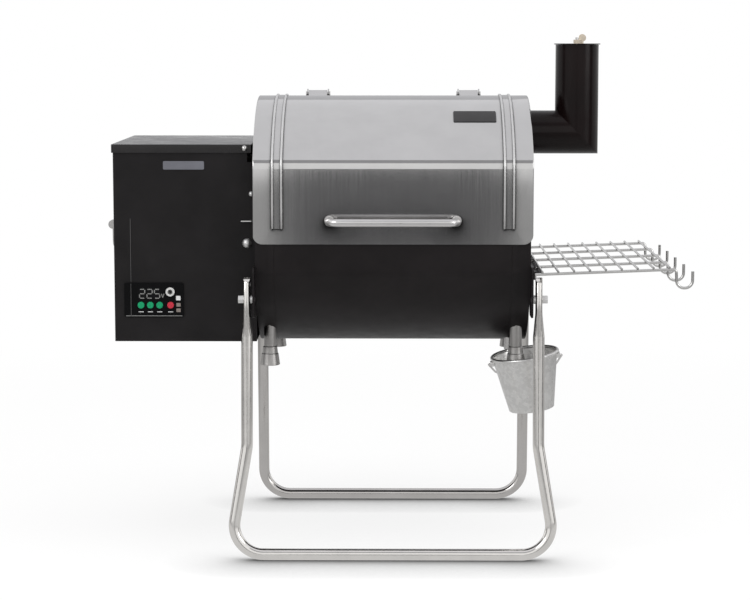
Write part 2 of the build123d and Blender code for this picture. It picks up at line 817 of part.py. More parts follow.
def bin_block(grow):
    """Solid funnel: straight sides, then a taper down to the auger."""
    left, right = hopper_left + skin, -end_face - skin
    front, back = hopper_front + skin, hopper_back - skin
    y = (front + back) / 2
    mouth_y = 0.0
    top = Pos((left + right) / 2, y) * Rectangle(right - left + 2 * grow, back - front + 2 * grow)
    mouth = Pos((bin_mouth_left + bin_mouth_right) / 2, mouth_y) * Rectangle(
        bin_mouth_right - bin_mouth_left + 2 * grow, 2 * (bin_mouth_half + grow))
    throat = auger_height + auger_tube_radius + 3 * skin
    funnel = loft([Pos(0, 0, throat) * mouth, Pos(0, 0, bin_shoulder) * top])
    funnel += Pos(0, 0, bin_shoulder) * extrude(top, bin_rim - bin_shoulder)
    return funnel + Pos(0, 0, auger_height) * extrude(mouth, throat - auger_height)


def pellet_bin():
    bin_wall = bin_block(0) - bin_block(-skin)
    bin_wall -= box(-far, 0, -far, far, bin_rim - skin / 2, far)
    bin_wall &= extrude(hopper_plan(-skin), far)
    tube = Pos(bin_mouth_left, 0, auger_height) * Rot(0, 90, 0) * Cylinder(auger_tube_radius, far)
    return bin_wall - tube - box(-far, 0, -far, far, 0, auger_height)


def bin_guard():
    """Wire finger guard across the bin."""
    left, right = hopper_left + 2 * skin, -end_face - 2 * skin
    front, back = hopper_front + 2 * skin, hopper_back - 2 * skin
    guard = None
    spacing = (right - left) / (guard_wires + 1)
    for index in range(guard_wires):
        x = left + (index + 1) * spacing
        wire = rod((x, front, guard_height), (x, back, guard_height), guard_wire_radius)
        guard = wire if guard is None else guard + wire
    drop = 2 * guard_wire_radius - weld_depth
    for share in (0.2, 0.8):
        y = front + share * (back - front)
        guard += rod((left, y, guard_height - drop), (right, y, guard_height - drop), guard_wire_radius)
    return guard


def auger_tube():
    length = pot_left - auger_start
    tube = Cylinder(auger_tube_radius, length) - Cylinder(auger_tube_bore, far)
    tube = Pos(auger_start + length / 2, 0, auger_height) * Rot(0, 90, 0) * tube
    mouth = bin_mouth_half - skin
    return tube - box(bin_mouth_left + skin, bin_mouth_right - skin, -mouth, mouth, auger_height, far)


def auger_motor():
    half = auger_tube_radius + 5
    left = hopper_left + skin
    block = box(left, auger_start, -half, half, auger_height - half, auger_height + half)
    block = fillet(block.edges().filter_by(Axis.X), 6)
    return block - rod((auger_start - auger_seat, 0, auger_height), (auger_start, 0, auger_height),
                       auger_shaft_radius + running_fit)


def auger_screw():
    """Shaft with a helical flight that carries the pellets to the fire pot."""
    start = auger_start + slide_gap
    length = pot_left - start - slide_gap
    turns_length = length - 10.0
    middle_radius = (auger_shaft_radius + auger_flight_radius) / 2
    path = Helix(pitch=auger_pitch, height=turns_length, radius=middle_radius)
    blade_height = auger_flight_radius - auger_shaft_radius + 1.0
    start_plane = Plane(origin=path @ 0, x_dir=(1, 0, 0), z_dir=path % 0)
    section = start_plane * Rectangle(blade_height, auger_flight_gauge)
    flight = sweep(section, path=path, is_frenet=True)
    flight &= Pos(0, 0, turns_length / 2) * Cylinder(auger_flight_radius, turns_length)
    shaft = Pos(0, 0, (length - auger_seat) / 2 - 5) * Cylinder(auger_shaft_radius, length + auger_seat)
    return Pos(start + 5, 0, auger_height) * Rot(0, 90, 0) * (shaft + flight)


def fan_housing():
    """Square frame behind the vents, with the wheel's post on a spider."""
    front = hopper_back - skin - fan_depth
    frame = box(fan_x - fan_size / 2, fan_x + fan_size / 2, front, hopper_back - skin,
                fan_height - fan_size / 2, fan_height + fan_size / 2)
    frame = fillet(frame.edges().filter_by(Axis.Y), 5)
    along = Pos(fan_x, 0, fan_height) * Rot(90, 0, 0)
    frame -= along * Cylinder(fan_bore, far)
    arm = box(fan_x - fan_bore - 1, fan_x + fan_bore + 1, front, front + 3, fan_height - 3, fan_height + 3)
    for turn in (45, 135):
        frame += Pos(fan_x, 0, fan_height) * Rot(0, turn, 0) * Pos(-fan_x, 0, -fan_height) * arm
    frame += rod((fan_x, front, fan_height), (fan_x, front + 18, fan_height), 2.0)
    return frame


def fan_wheel():
    front = hopper_back - skin - fan_depth + 3 + slide_gap
    hub = rod((fan_x, front, fan_height), (fan_x, front + 14, fan_height), fan_hub)
    blade = Pos(fan_hub - 1 + (fan_bore - 2 - fan_hub) / 2, 0, 0) * Rot(35, 0, 0) * Box(
        fan_bore - 1 - fan_hub, 14, 1.5)
    for index in range(fan_blades):
        hub += Pos(fan_x, front + 7, fan_height) * Rot(0, index * 360 / fan_blades, 0) * blade
    hub &= rod((fan_x, front, fan_height), (fan_x, front + 14, fan_height), fan_bore - 1.5)
    return hub - rod((fan_x, front - 1, fan_height), (fan_x, front + 30, fan_height), 2.0 + running_fit)


# ---- control panel
def control_panel():
    face = hopper_front - panel_gauge
    plate = box(panel_left, panel_left + panel_width, face, hopper_front,
                panel_top - panel_height, panel_top)
    plate = fillet(plate.edges().filter_by(Axis.Y), 3)
    plate -= box(window_x - window_width / 2, window_x + window_width / 2, face - 1, face + window_depth,
                 window_z - window_height / 2, window_z + window_height / 2)
    for x in button_xs:
        plate -= Pos(x, face, button_z) * Rot(90, 0, 0) * Cylinder(button_radius + side_gap, far)
    return plate - Pos(jack_x, face, jack_z) * Rot(90, 0, 0) * Cylinder(jack_radius - 2, far)


def display_window():
    face = hopper_front - panel_gauge
    return box(window_x - window_width / 2, window_x + window_width / 2, face, face + window_depth,
               window_z - window_height / 2, window_z + window_height / 2)


def button(x):
    """Push button: a cap through the panel on a wider flange behind it."""
    face = hopper_front - panel_gauge
    back = hopper_front + skin
    cap = rod((x, face - button_proud, button_z), (x, back, button_z), button_radius)
    cap = fillet(cap.edges().group_by(Axis.Y)[0], 0.8)
    flange_back = hopper_front + seat_gap
    cap += rod((x, flange_back, button_z), (x, flange_back + button_flange, button_z),
               button_radius + button_flange / 2)
    return cap


def button_board():
    """Circuit board on posts behind the panel; the buttons press toward it."""
    front = hopper_front + skin + button_travel + button_flange
    board = box(panel_left, panel_left + panel_width, front, front + skin,
                panel_top - panel_height, panel_top)
    for x in (panel_left + 5, panel_left + panel_width - 5):
        for z in (panel_top - 5, panel_top - panel_height + 5):
            board += rod((x, hopper_front + skin, z), (x, front, z), 2.5)
    return board - rod((jack_x, hopper_front, jack_z), (jack_x, 0, jack_z), jack_radius - 2)


def probe_jack():
    face = hopper_front - panel_gauge
    ring = rod((jack_x, face - jack_proud, jack_z), (jack_x, face, jack_z), jack_radius)
    ring = fillet(ring.edges().group_by(Axis.Y)[0], 1.0)
    ring += rod((jack_x, face, jack_z), (jack_x, face + jack_depth, jack_z), jack_radius - 2)
    return ring - rod((jack_x, face - far, jack_z), (jack_x, face + jack_depth - 2, jack_z), jack_bore)


# ---- carrying handle on the hopper's side
def side_handle_plate():
    left = hopper_left - grip_plate_gauge
    half = grip_span / 2 + knuckle_length
    plate = box(left, hopper_left, grip_y - half, grip_y + half,
                grip_z - grip_plate_height + knuckle_radius, grip_z + knuckle_radius)
    plate = fillet(plate.edges().filter_by(Axis.X), 5)
    axis_x = hopper_left - grip_axis_out
    for side in (-1, 1):
        y0 = grip_y + side * (grip_span / 2 - knuckle_length / 2)
        y1 = grip_y + side * (grip_span / 2 + knuckle_length / 2)
        low, high = min(y0, y1), max(y0, y1)
        knuckle = rod((axis_x, low, grip_z), (axis_x, high, grip_z), knuckle_radius)
        knuckle += box(axis_x, left, low, high, grip_z - knuckle_radius, grip_z + knuckle_radius)
        plate += knuckle
    half_bore = grip_span / 2 + knuckle_length
    bore = rod((axis_x, grip_y - half_bore, grip_z), (axis_x, grip_y + half_bore, grip_z),
               grip_wire + running_fit)
    return plate - bore


def side_handle():
    """Bent wire grip that hangs from the knuckles."""
    axis_x = hopper_left - grip_axis_out
    inner = grip_span / 2 - knuckle_length / 2 - 2 * grip_wire - side_gap
    outer = grip_span / 2 + knuckle_length / 2
    points = [
        (0, -outer, 0),
        (0, -inner, 0),
        (0, -inner + grip_wire, -grip_drop),
        (0, inner - grip_wire, -grip_drop),
        (0, inner, 0),
        (0, outer, 0),
    ]
    corner = 1.6 * grip_wire
    wire = bent_rod(points, [corner, 3 * grip_wire, 3 * grip_wire, corner], grip_wire)
    return Pos(axis_x, grip_y, grip_z) * wire


# ---- shelf
def long_wire_ys():
    step = 2 * shelf_half / (long_wires - 1)
    return [-shelf_half + step * index for index in range(long_wires)]


def tilt_shelf(piece):
    """Turn a level shelf piece up about its edge at the barrel."""
    edge = Pos(end_face, 0, shelf_height)
    return edge * Rot(0, -shelf_tilt, 0) * Pos(-end_face, 0, -shelf_height) * piece


def shelf_wire(y):
    """One of the middle wires, with its end turned down."""
    pin_x = end_face + rail_reach / 2
    points = [(pin_x, y, shelf_height - shelf_pin_drop), (pin_x, y, shelf_height),
              (shelf_right, y, shelf_height)]
    return bent_rod(points, [2.2 * long_wire_radius], long_wire_radius)


def shelf_grid():
    """Flat part of the welded wire shelf."""
    grid = None
    for index, y in enumerate(long_wire_ys()):
        if 0 < index < long_wires - 1:
            wire = shelf_wire(y) & box(0, far, -far, far, shelf_height - long_wire_radius, far)
        else:
            wire = rod((shelf_left, y, shelf_height), (shelf_right, y, shelf_height), long_wire_radius)
        grid = wire if grid is None else grid + wire
    level = shelf_height + long_wire_radius + cross_wire_radius - weld_depth
    for index in range(cross_wires):
        x = cross_first + index * cross_pitch
        grid += rod((x, -shelf_half - long_wire_radius, level), (x, shelf_half + cross_overhang, level),
                    cross_wire_radius)
    return tilt_shelf(grid)


def shelf_pins():
    """Turned-down ends of the middle wires, for the rail's holes."""
    below = box(0, far, -far, far, 0, shelf_height - long_wire_radius)
    return tilt_shelf(Compound([shelf_wire(y) & below for y in long_wire_ys()[1:-1]]))


def shelf_hooks():
    """J-shaped tool hooks on the wires' outer ends."""
    bottom = shelf_height - hook_drop
    start = shelf_right
    bend = 2.2 * long_wire_radius
    points = [
        (start, 0, shelf_height),
        (start + bend + 1, 0, shelf_height),
        (start + bend + 1, 0, bottom),
        (start + bend + 1 + hook_width, 0, bottom),
        (start + bend + 2 + hook_width, 0, shelf_height - hook_tip_drop),
    ]
    hook = bent_rod(points, [bend, hook_width / 2 - 0.5, hook_width / 2 - 0.5], long_wire_radius)
    return tilt_shelf(Compound([Pos(0, y, 0) * hook for y in long_wire_ys()]))


def shelf_rail():
    """Angle on the right end panel; the shelf drops into its holes."""
    top = shelf_height - long_wire_radius - seat_gap
    rail = box(end_face, end_face + rail_gauge, -rail_half, rail_half, top - rail_height, top)
    rail += box(end_face, end_face + rail_reach, -rail_half, rail_half, top - rail_gauge, top)
    for y in long_wire_ys()[1:-1]:
        rail -= Pos(end_face + rail_reach / 2, y, top) * Cylinder(long_wire_radius + pin_play, 4 * rail_gauge)
    return rail


# ---- grease bucket
def in_bucket(piece):
    """Place a piece made about the bucket's own axis, rim at z = 0."""
    return Pos(bucket_x, bucket_y, bucket_rim) * Rot(bucket_nod, -bucket_lean, 0) * piece


def bucket_cone(grow, z0, z1):
    """Solid of the bucket's taper between two levels below the rim."""
    taper = (bucket_radius - bucket_foot_radius) / bucket_depth
    low = bucket_radius + z0 * taper + grow
    high = bucket_radius + z1 * taper + grow
    return Pos(0, 0, (z0 + z1) / 2) * Cone(low, high, z1 - z0)


def bucket():
    floor = -bucket_depth
    shell = bucket_cone(0, floor, -bead_roll)
    shell -= bucket_cone(-bucket_gauge, floor + 3 * bucket_gauge, 0)
    shell -= Pos(0, 0, floor) * Cylinder(bucket_foot_radius - 3, 4 * bucket_gauge)
    shell += Pos(0, 0, -bead_roll) * Torus(bucket_radius, bead_roll)
    core = bucket_cone(-bucket_gauge / 2, floor, 0)
    ear = Pos(bucket_radius, 0, -bail_drop) * Rot(0, 90, 0) * Cylinder(ear_plate_radius, 2 * ear_plate_reach)
    eye = Pos(bucket_radius, 0, -bail_drop) * Rot(0, 90, 0) * Cylinder(bail_wire + 2 * running_fit, far / 8)
    ears = ear - core
    ears = ears - (eye - core)
    return in_bucket(shell + ears + mirror(ears, Plane.YZ))


def bail():
    """Wire handle, hanging behind against the bucket's wall."""
    turn = 2.2 * bail_wire
    out = bucket_radius + ear_plate_reach + side_gap + turn
    pin = bucket_radius + 0.4
    points = [
        (-pin, 0, 0),
        (-out, 0, 0),
        (-0.8 * out, 0, -0.75 * bail_reach),
        (-0.3 * out, 0, -bail_reach),
        (0.3 * out, 0, -bail_reach),
        (0.8 * out, 0, -0.75 * bail_reach),
        (out, 0, 0),
        (pin, 0, 0),
    ]
    wire = bent_rod(points, [turn, 24, 20, 20, 24, turn], bail_wire)
    return in_bucket(Pos(0, 0, -bail_drop) * Rot(bail_hang, 0, 0) * wire)


def bucket_hanger():
    """Half ring under the bucket's bead, on a strap from the tub."""
    top = -2 * bead_roll - seat_gap
    inner = bucket_radius + hanger_clearance
    ring = Cylinder(inner + hanger_width, hanger_gauge) - Cylinder(inner, 2 * hanger_gauge)
    ring &= box(-far, far, inner * sin(radians(hanger_start)), far, -far, far)
    ring = Pos(0, 0, top - hanger_gauge / 2) * ring
    back = inner + hanger_width
    strap_left = -hanger_shift - hanger_strap / 2
    strap = box(strap_left, strap_left + hanger_strap, back - hanger_gauge, back,
                top - hanger_gauge, 2 * bucket_depth)
    hanger = in_bucket(ring + strap)
    return under_tub(hanger)


# ---- fasteners that show
def body_screws():
    heads = []
    across = flange_screw_circle * cos(radians(flange_screw_angle))
    rise = flange_screw_circle * sin(radians(flange_screw_angle))
    for side in (-1, 1):
        for front in (-1, 1):
            point = (end_face + flange_gauge, front * across, arm_height + side * rise)
            heads.append(dome_screw(point, (1, 0, 0), flange_screw_radius, flange_screw_rise))
            for y, z in bracket_screws:
                point = (side * (end_face + bracket_gauge), front * y, z)
                heads.append(dome_screw(point, (side, 0, 0)))
    heads.append(dome_screw((hopper_rim_x, hopper_front, upper_screw_z), (0, -1, 0)))
    return Compound(heads)


def hopper_thumb_nut():
    """Domed nut that clamps the hopper's rim to the barrel."""
    return dome_screw((thumb_nut_x, hopper_front, thumb_nut_z), (0, -1, 0), thumb_nut_radius, 6.5)


def hopper_tab():
    """Small folded tab on the hopper's front, by the barrel."""
    left = hopper_tab_x - hopper_tab_width / 2
    return box(left, left + hopper_tab_width, hopper_front - hopper_tab_reach, hopper_front,
               hopper_tab_z - skin / 2, hopper_tab_z + skin / 2)


pieces = {
    "barrel_tub": barrel_tub,
    "rear_panel": rear_panel,
    "end_panel_left": end_panel_left,
    "end_panel_right": end_panel_right,
    "drain_spout": drain_spout,
    "heat_shield": heat_shield,
    "grease_tray": grease_tray,
    "fire_pot": fire_pot,
    "grate_ledges": grate_ledges,
    "cooking_grate": cooking_grate,
    "hood_shell": hood_shell,
    "hood_handle": hood_handle,
    "hood_plate": hood_plate,
    "hinge_leaves": hinge_leaves,
    "hinge_ears": hinge_ears,
    "hinge_pins": hinge_pins,
    "chimney_stack": chimney_stack,
    "chimney_arm": chimney_arm,
    "chimney_flange": chimney_flange,
    "cap_stem": cap_stem,
    "chimney_cap": chimney_cap,
    "thumb_nut": thumb_nut,
    "front_leg_frame": front_leg_frame,
    "rear_leg_frame": rear_leg_frame,
    "leg_brackets": leg_brackets,
    "pivot_bolts": pivot_bolts,
    "feet": feet,
    "hopper_shell": hopper_shell,
    "hopper_floor": hopper_floor,
    "hopper_lid": hopper_lid,
    "hopper_lid_pins": hopper_lid_pins,
    "pellet_bin": pellet_bin,
    "bin_guard": bin_guard,
    "auger_tube": auger_tube,
    "auger_motor": auger_motor,
    "auger_screw": auger_screw,
    "fan_housing": fan_housing,
    "fan_wheel": fan_wheel,
    "control_panel": control_panel,
    "display_window": display_window,
    "button_board": button_board,
    "probe_jack": probe_jack,
    "side_handle_plate": side_handle_plate,
    "side_handle": side_handle,
    "shelf_grid": shelf_grid,
    "shelf_pins": shelf_pins,
    "shelf_hooks": shelf_hooks,
    "shelf_rail": shelf_rail,
    "bucket": bucket,
    "bail": bail,
    "bucket_hanger": bucket_hanger,
    "body_screws": body_screws,
    "hopper_thumb_nut": hopper_thumb_nut,
    "hopper_tab": hopper_tab,
}

solids = {name: make() for name, make in pieces.items()}
for name, x in zip(button_names, button_xs):
    solids[name] = button(x)

whole = Compound(list(solids.values())).bounding_box()
to_origin = Pos(-(whole.min.X + whole.max.X) / 2, -(whole.min.Y + whole.max.Y) / 2, -whole.min.Z)
print("moved by", to_origin.position)
os.makedirs("parts", exist_ok=True)
for name, solid in solids.items():
    export_step(solid.moved(to_origin), f"parts/{name}.step")
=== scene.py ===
import math

import bpy
import numpy as np
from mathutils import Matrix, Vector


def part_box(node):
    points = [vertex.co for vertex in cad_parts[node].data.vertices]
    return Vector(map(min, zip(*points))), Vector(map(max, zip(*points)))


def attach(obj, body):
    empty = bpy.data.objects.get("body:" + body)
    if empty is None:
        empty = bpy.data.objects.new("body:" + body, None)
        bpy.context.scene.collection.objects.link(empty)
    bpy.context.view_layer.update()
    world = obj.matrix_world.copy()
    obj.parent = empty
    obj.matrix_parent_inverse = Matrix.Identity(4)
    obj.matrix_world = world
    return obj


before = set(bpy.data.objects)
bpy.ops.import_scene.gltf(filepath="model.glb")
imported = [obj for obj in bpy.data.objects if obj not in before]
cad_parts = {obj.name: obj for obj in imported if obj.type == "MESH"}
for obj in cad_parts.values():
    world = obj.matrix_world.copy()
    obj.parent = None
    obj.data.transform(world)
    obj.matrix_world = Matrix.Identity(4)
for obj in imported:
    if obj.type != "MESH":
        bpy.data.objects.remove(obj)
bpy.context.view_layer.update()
print("frame loaded:", len(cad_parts), "nodes")

cameraSettings = {"place": (-0.0003, -3.5400, 0.8051), "tiltDown": 6.910, "turnLeft": 0.533,
                  "lens": 105.53, "farEnd": 200.0}


def addCamera(s):
    data = bpy.data.cameras.new("studioCamera")
    data.lens = s["lens"]
    data.clip_end = s["farEnd"]
    cam = bpy.data.objects.new("studioCamera", data)
    cam.location = s["place"]
    cam.rotation_euler = (math.radians(90.0 - s["tiltDown"]), 0.0, math.radians(s["turnLeft"]))
    bpy.context.scene.collection.objects.link(cam)
    bpy.context.scene.camera = cam


lampSettings = {
    "overhead": {"place": (0.1, -0.6, 3.4), "aim": (0.0, 0.0, 0.5), "size": (3.2, 2.2), "power": 62.0,
                 "mirrored": False},
    "keyLeft": {"place": (-2.6, -2.9, 2.4), "aim": (0.0, 0.0, 0.45), "size": (1.6, 2.0), "power": 40.0,
                "mirrored": True},
    "fillRight": {"place": (3.0, -2.0, 1.6), "aim": (0.1, 0.0, 0.45), "size": (1.4, 1.8), "power": 22.0,
                  "mirrored": True},
}


def addLamp(name, s):
    # a rectangle of light whose back points away from its aim
    data = bpy.data.lights.new(name, "AREA")
    data.shape = "RECTANGLE"
    data.size, data.size_y = s["size"]
    data.energy = s["power"]
    lamp = bpy.data.objects.new(name, data)
    away = np.array(s["place"]) - np.array(s["aim"])
    away /= np.linalg.norm(away)
    lamp.location = s["place"]
    lamp.rotation_euler = (math.acos(away[2]), 0.0, math.atan2(away[0], -away[1]))
    lamp.visible_glossy = s["mirrored"]
    bpy.context.scene.collection.objects.link(lamp)


def addNode(tree, kind, values=None, operation=None):
    # one node of a node tree; values are the inputs that are not left as they come
    node = tree.nodes.new("ShaderNode" + kind)
    if operation:
        node.operation = operation
    for key, value in (values or {}).items():
        node.inputs[key].default_value = value
    return node


def joinNodes(tree, *pairs):
    for source, target in pairs:
        tree.links.new(source, target)


def newTree(owner):
    owner.use_nodes = True
    owner.node_tree.nodes.clear()
    return owner.node_tree


worldSettings = {"ambient": 0.62, "backdrop": 1.0}


def addWorld(s):
    # surfaces are lit by the ambient level; the camera, mirrors and glass see the white backdrop
    world = bpy.data.worlds.new("studioWorld")
    bpy.context.scene.world = world
    tree = newTree(world)
    out = addNode(tree, "OutputWorld")
    back = addNode(tree, "Background", {"Color": (1.0, 1.0, 1.0, 1.0)})
    path = addNode(tree, "LightPath")
    seen = addNode(tree, "Math", operation="MAXIMUM")
    shown = addNode(tree, "Math", operation="MAXIMUM")
    level = addNode(tree, "MapRange", {"To Min": s["ambient"], "To Max": s["backdrop"]})
    joinNodes(tree,
              (path.outputs["Is Camera Ray"], seen.inputs[0]),
              (path.outputs["Is Glossy Ray"], seen.inputs[1]),
              (seen.outputs[0], shown.inputs[0]),
              (path.outputs["Is Transmission Ray"], shown.inputs[1]),
              (shown.outputs[0], level.inputs["Value"]),
              (level.outputs[0], back.inputs["Strength"]),
              (back.outputs[0], out.inputs["Surface"]))


def flatCorners(low, high):
    # the rectangle between two opposite corners, which agree on one axis
    across, along = [axis for axis in range(3) if low[axis] != high[axis]]
    corners = []
    for acrossEnd, alongEnd in ((low, low), (high, low), (high, high), (low, high)):
        corner = list(low)
        corner[across] = acrossEnd[across]
        corner[along] = alongEnd[along]
        corners.append(corner)
    return corners


def addFlat(name, corners, material):
    # one four-cornered face that stands in the studio and is no part of the object
    mesh = bpy.data.meshes.new(name)
    mesh.from_pydata(corners, [], [(0, 1, 2, 3)])
    mesh.materials.append(material)
    flat = bpy.data.objects.new(name, mesh)
    bpy.context.scene.collection.objects.link(flat)
    return flat


floorSettings = {
    "size": 60.0, "color": (0.93, 0.93, 0.93, 1.0),
    # what the camera sees: a glow that grows from nearGlow to plain white between two distances
    "nearGlow": 0.80, "glowStart": 0.9, "glowEnd": 2.2,
    # what bright metal mirrors: a floor that is greyer further out
    "mirrored": 0.70, "mirroredFar": 0.44, "mirrorStart": 0.75, "mirrorEnd": 1.7,
    # painted shadow: the glow darkened where something stands on the floor, leaning to the front
    "contactReach": 0.110, "contactPower": 2.7, "contactLean": (0.0, 0.57, 0.82), "contactSamples": 16,
}


def addContactShade(tree, s):
    # painted shadow: openness of the floor within a short reach, raised to a power
    lean = addNode(tree, "CombineXYZ", dict(zip("XYZ", s["contactLean"])))
    near = addNode(tree, "AmbientOcclusion", {"Distance": s["contactReach"]})
    near.samples = s["contactSamples"]
    depth = addNode(tree, "Math", {1: s["contactPower"]}, "POWER")
    joinNodes(tree, (lean.outputs[0], near.inputs["Normal"]), (near.outputs["AO"], depth.inputs[0]))
    return depth.outputs[0]


def addFloor(s):
    material = bpy.data.materials.new("floorWhite")
    tree = newTree(material)
    out = addNode(tree, "OutputMaterial")
    path = addNode(tree, "LightPath")
    where = addNode(tree, "TexCoord")
    reach = addNode(tree, "VectorMath", operation="LENGTH")
    lit = addNode(tree, "BsdfDiffuse", {"Color": s["color"]})
    glow = addNode(tree, "Emission")
    mirrored = addNode(tree, "Emission")
    grow = addNode(tree, "MapRange", {"From Min": s["glowStart"], "From Max": s["glowEnd"],
                                      "To Min": s["nearGlow"], "To Max": 1.0})
    far = addNode(tree, "MapRange", {"From Min": s["mirrorStart"], "From Max": s["mirrorEnd"],
                                     "To Min": s["mirrored"], "To Max": s["mirroredFar"]})
    share = addNode(tree, "Math", operation="MULTIPLY")
    seen = addNode(tree, "MixShader")
    shown = addNode(tree, "MixShader")
    joinNodes(tree,
              (where.outputs["Object"], reach.inputs[0]),
              (reach.outputs["Value"], grow.inputs["Value"]),
              (reach.outputs["Value"], far.inputs["Value"]),
              (addContactShade(tree, s), glow.inputs["Strength"]),
              (far.outputs[0], mirrored.inputs["Strength"]),
              (path.outputs["Is Camera Ray"], share.inputs[0]),
              (grow.outputs[0], share.inputs[1]),
              (share.outputs[0], seen.inputs["Fac"]),
              (lit.outputs[0], seen.inputs[1]),
              (glow.outputs[0], seen.inputs[2]),
              (path.outputs["Is Glossy Ray"], shown.inputs["Fac"]),
              (seen.outputs[0], shown.inputs[1]),
              (mirrored.outputs[0], shown.inputs[2]),
              (shown.outputs[0], out.inputs["Surface"]))
    half = s["size"] / 2
    addFlat("studioFloor", flatCorners((-half, -half, 0), (half, half, 0)), material)


# flat cards that only bright metal mirrors, each given by two opposite corners
cardSettings = {
    "darkCard": {"low": (-0.40, -4.2, 0.0), "high": (0.40, -4.2, 0.62), "grey": 0.14},
    "darkStrip": {"low": (-1.6, -3.9, 3.2), "high": (1.6, -1.9, 3.2), "grey": 0.42},
    "ceiling": {"low": (-3.0, -1.9, 3.25), "high": (3.0, 5.0, 3.25), "grey": 0.86},
    "backWall": {"low": (-4.0, 5.0, 0.95), "high": (4.0, 5.0, 3.25), "grey": 0.56},
    "sideLeft": {"low": (-4.0, -1.5, 0.0), "high": (-4.0, -0.2, 1.9), "grey": 0.16},
    "sideRight": {"low": (4.0, -1.5, 0.0), "high": (4.0, -0.2, 1.9), "grey": 0.16},
}
cardBlueShare = 1.03  # a card's blue over its red and green


def addCard(name, s):
    material = bpy.data.materials.new(name)
    material.use_nodes = True
    shader = material.node_tree.nodes["Principled BSDF"]
    shader.inputs["Base Color"].default_value = (0.0, 0.0, 0.0, 1.0)
    shader.inputs["Specular IOR Level"].default_value = 0.0
    shader.inputs["Emission Color"].default_value = (s["grey"], s["grey"], s["grey"] * cardBlueShare, 1.0)
    shader.inputs["Emission Strength"].default_value = 1.0
    card = addFlat(name, flatCorners(s["low"], s["high"]), material)
    card.visible_camera = False
    card.visible_diffuse = False
    card.visible_shadow = False


addCamera(cameraSettings)
for cardName, cardValues in cardSettings.items():
    addCard(cardName, cardValues)
addWorld(worldSettings)
addFloor(floorSettings)
for lampName, lampValues in lampSettings.items():
    addLamp(lampName, lampValues)
bpy.context.scene.view_settings.view_transform = "Standard"
print("studio ready")

# painted, enamelled and plastic finishes; what a finish does not say comes from paintCommon
paintCommon = {"driftScale": 14.0, "driftDetail": 3.0, "hazeScale": 45.0, "hazeDetail": 4.0,
               "hazeDown": 0.04, "hazeUp": 0.05, "coat": 0.0, "coatRough": 0.12, "grainDetail": 2.0,
               "bump": 0.0, "bumpDepth": 0.0004}
paintSettings = {
    "tubBlack": {"color": (0.0095, 0.0078, 0.0082), "drift": 0.25, "rough": 0.42, "specular": 0.15,
                 "grain": 900.0, "bump": 0.10},
    "hopperBlack": {"color": (0.0105, 0.0095, 0.0100), "drift": 0.22, "rough": 0.46, "specular": 0.14,
                    "grain": 900.0, "bump": 0.10},
    "lidBlack": {"color": (0.0105, 0.0095, 0.0100), "drift": 0.22, "rough": 0.22, "specular": 0.42,
                 "grain": 900.0, "bump": 0.04},
    "chimneyBlack": {"color": (0.0055, 0.0028, 0.0028), "drift": 0.25, "rough": 0.20, "specular": 0.17,
                     "grain": 900.0, "bump": 0.05},
    "panelBlack": {"color": (0.0030, 0.0030, 0.0034), "drift": 0.15, "rough": 0.50, "specular": 0.07,
                   "grain": 1800.0, "bump": 0.06},
    "plateGrey": {"color": (0.030, 0.029, 0.030), "drift": 0.12, "rough": 0.45, "specular": 0.20,
                  "grain": 1500.0, "bump": 0.04},
    "labelGrey": {"color": (0.128, 0.130, 0.150), "drift": 0.10, "rough": 0.42, "specular": 0.40,
                  "grain": 1500.0, "bump": 0.04, "coat": 0.1},
    "displayBlack": {"color": (0.0035, 0.0035, 0.0040), "drift": 0.08, "rough": 0.25, "specular": 0.1,
                     "coat": 0.1},
    "segmentGrey": {"color": (0.19, 0.19, 0.185), "drift": 0.08, "rough": 0.40, "specular": 0.4},
    "jackPale": {"color": (0.55, 0.55, 0.54), "drift": 0.08, "rough": 0.32, "specular": 0.5,
                 "grain": 2600.0, "bump": 0.04},
    "boardGreen": {"color": (0.03, 0.16, 0.07), "drift": 0.3, "rough": 0.45, "specular": 0.4,
                   "grain": 900.0, "bump": 0.08, "coat": 0.2},
    "plasticBlack": {"color": (0.018, 0.018, 0.018), "drift": 0.15, "rough": 0.45, "specular": 0.4,
                     "grain": 2600.0, "bump": 0.08},
    "plasticBeige": {"color": (0.66, 0.58, 0.47), "drift": 0.08, "rough": 0.40, "specular": 0.45,
                     "grain": 2600.0, "bump": 0.05},
    "buttonGreen": {"color": (0.008, 0.270, 0.115), "drift": 0.08, "rough": 0.45, "specular": 0.15,
                    "grain": 2600.0, "bump": 0.05},
    "buttonRed": {"color": (0.470, 0.030, 0.050), "drift": 0.08, "rough": 0.45, "specular": 0.15,
                  "grain": 2600.0, "bump": 0.05},
    "markPale": {"color": (0.62, 0.62, 0.62), "drift": 0.05, "rough": 0.55, "specular": 0.3},
    # painted highlight colour for the fine pale line on the hopper's front
    "glintLineGrey": {"color": (0.060, 0.059, 0.060), "drift": 0.20, "rough": 0.55, "specular": 0.3},
    "markBrown": {"color": (0.20, 0.17, 0.15), "drift": 0.10, "rough": 0.55, "specular": 0.3},
    "grateEnamel": {"color": (0.020, 0.020, 0.020), "drift": 0.4, "rough": 0.35, "specular": 0.5,
                    "grain": 500.0, "bump": 0.18, "coat": 0.3},
}
